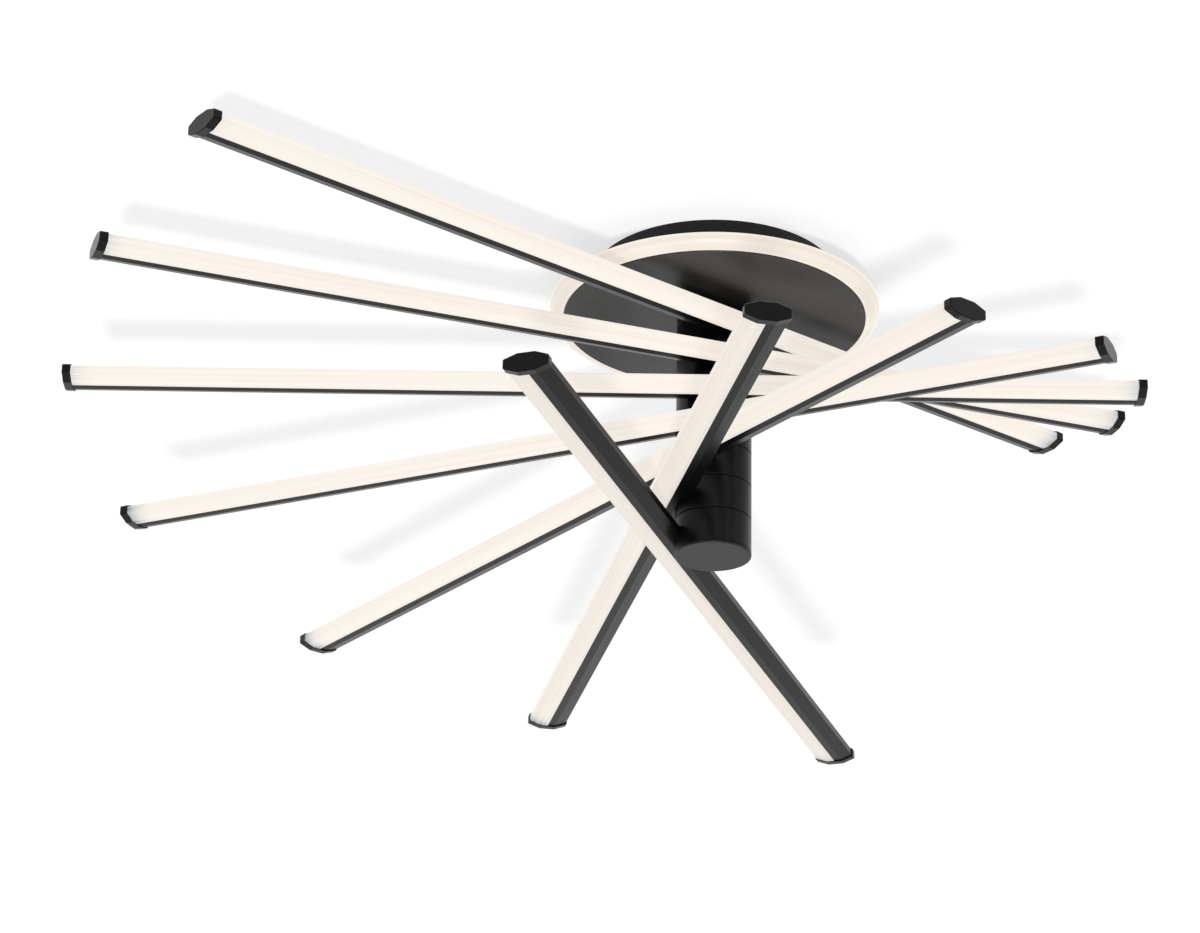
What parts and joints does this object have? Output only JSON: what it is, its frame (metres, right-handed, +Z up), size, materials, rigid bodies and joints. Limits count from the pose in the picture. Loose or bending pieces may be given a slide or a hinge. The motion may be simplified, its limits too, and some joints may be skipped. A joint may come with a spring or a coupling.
{
  "type": "ceiling light",
  "caption": "Black flush ceiling light: round canopy with a luminous ring and a column of stacked drums, each with a long swivelling light bar.",
  "frame": {"origin": "centre of the ceiling plane, on the axis of the column", "axes": "+Z up into the ceiling along the column; +X to the right and +Y away as the picture shows the light"},
  "size_m": [0.8505, 0.8766, 0.2458],
  "materials": {
    "satin_black_metal": "satin black powder coat, fine even grain",
    "black_aluminium": "black anodised extrusion, satin",
    "black_plastic": "moulded, satin black",
    "opal_plastic": "opal diffuser, lit warm white from inside",
    "zinc_steel": "bright zinc plate",
    "white_board": "white solder mask",
    "white_plastic": "moulded, plain white"
  },
  "bodies": {
    "root": {"ceiling_bracket": "zinc_steel", "canopy_pan": "satin_black_metal", "canopy_screws": "satin_black_metal", "light_tray": "satin_black_metal", "tray_screws": "zinc_steel", "ring_led_board": "white_board", "ring_diffuser": "opal_plastic", "canopy_disc": "satin_black_metal", "led_driver": "white_plastic", "terminal_block": "white_plastic", "stem_tube": "zinc_steel", "stem_spacer": "zinc_steel", "stem_nuts": "zinc_steel", "column_collar": "satin_black_metal", "stop_washers": "zinc_steel", "spring_washer": "zinc_steel", "bottom_cap": "satin_black_metal"},
    "arm_1": {"drum_1": "black_aluminium", "profile_1": "black_aluminium", "diffuser_1": "opal_plastic", "led_board_1": "white_board", "end_caps_1": "black_plastic", "bar_screws_1": "zinc_steel"},
    "arm_2": {"drum_2": "black_aluminium", "profile_2": "black_aluminium", "diffuser_2": "opal_plastic", "led_board_2": "white_board", "end_caps_2": "black_plastic", "bar_screws_2": "zinc_steel"},
    "arm_3": {"drum_3": "black_aluminium", "profile_3": "black_aluminium", "diffuser_3": "opal_plastic", "led_board_3": "white_board", "end_caps_3": "black_plastic", "bar_screws_3": "zinc_steel"},
    "arm_4": {"drum_4": "black_aluminium", "profile_4": "black_aluminium", "diffuser_4": "opal_plastic", "led_board_4": "white_board", "end_caps_4": "black_plastic", "bar_screws_4": "zinc_steel"},
    "arm_5": {"drum_5": "black_aluminium", "profile_5": "black_aluminium", "diffuser_5": "opal_plastic", "led_board_5": "white_board", "end_caps_5": "black_plastic", "bar_screws_5": "zinc_steel"},
    "arm_6": {"drum_6": "black_aluminium", "profile_6": "black_aluminium", "diffuser_6": "opal_plastic", "led_board_6": "white_board", "end_caps_6": "black_plastic", "bar_screws_6": "zinc_steel"},
    "arm_7": {"drum_7": "black_aluminium", "profile_7": "black_aluminium", "diffuser_7": "opal_plastic", "led_board_7": "white_board", "end_caps_7": "black_plastic", "bar_screws_7": "zinc_steel"}
  },
  "joints": [
    {"name": "arm_1_swing", "type": "hinge", "parent": "root", "child": "arm_1", "pos_m": [0, 0, -0.0607], "axis": [0, 0, 1], "range_deg": [-233.4, 86.6]},
    {"name": "arm_2_swing", "type": "hinge", "parent": "root", "child": "arm_2", "pos_m": [0, 0, -0.0887], "axis": [0, 0, 1], "range_deg": [-214.7, 105.3]},
    {"name": "arm_3_swing", "type": "hinge", "parent": "root", "child": "arm_3", "pos_m": [0, 0, -0.1167], "axis": [0, 0, 1], "range_deg": [-194.8, 125.2]},
    {"name": "arm_4_swing", "type": "hinge", "parent": "root", "child": "arm_4", "pos_m": [0, 0, -0.1447], "axis": [0, 0, 1], "range_deg": [-170.8, 149.2]},
    {"name": "arm_5_swing", "type": "hinge", "parent": "root", "child": "arm_5", "pos_m": [0, 0, -0.1727], "axis": [0, 0, 1], "range_deg": [-142.3, 177.7]},
    {"name": "arm_6_swing", "type": "hinge", "parent": "root", "child": "arm_6", "pos_m": [0, 0, -0.2007], "axis": [0, 0, 1], "range_deg": [-116.3, 203.7]},
    {"name": "arm_7_swing", "type": "hinge", "parent": "root", "child": "arm_7", "pos_m": [0, 0, -0.2287], "axis": [0, 0, 1], "range_deg": [-86.7, 233.3]}
  ]
}
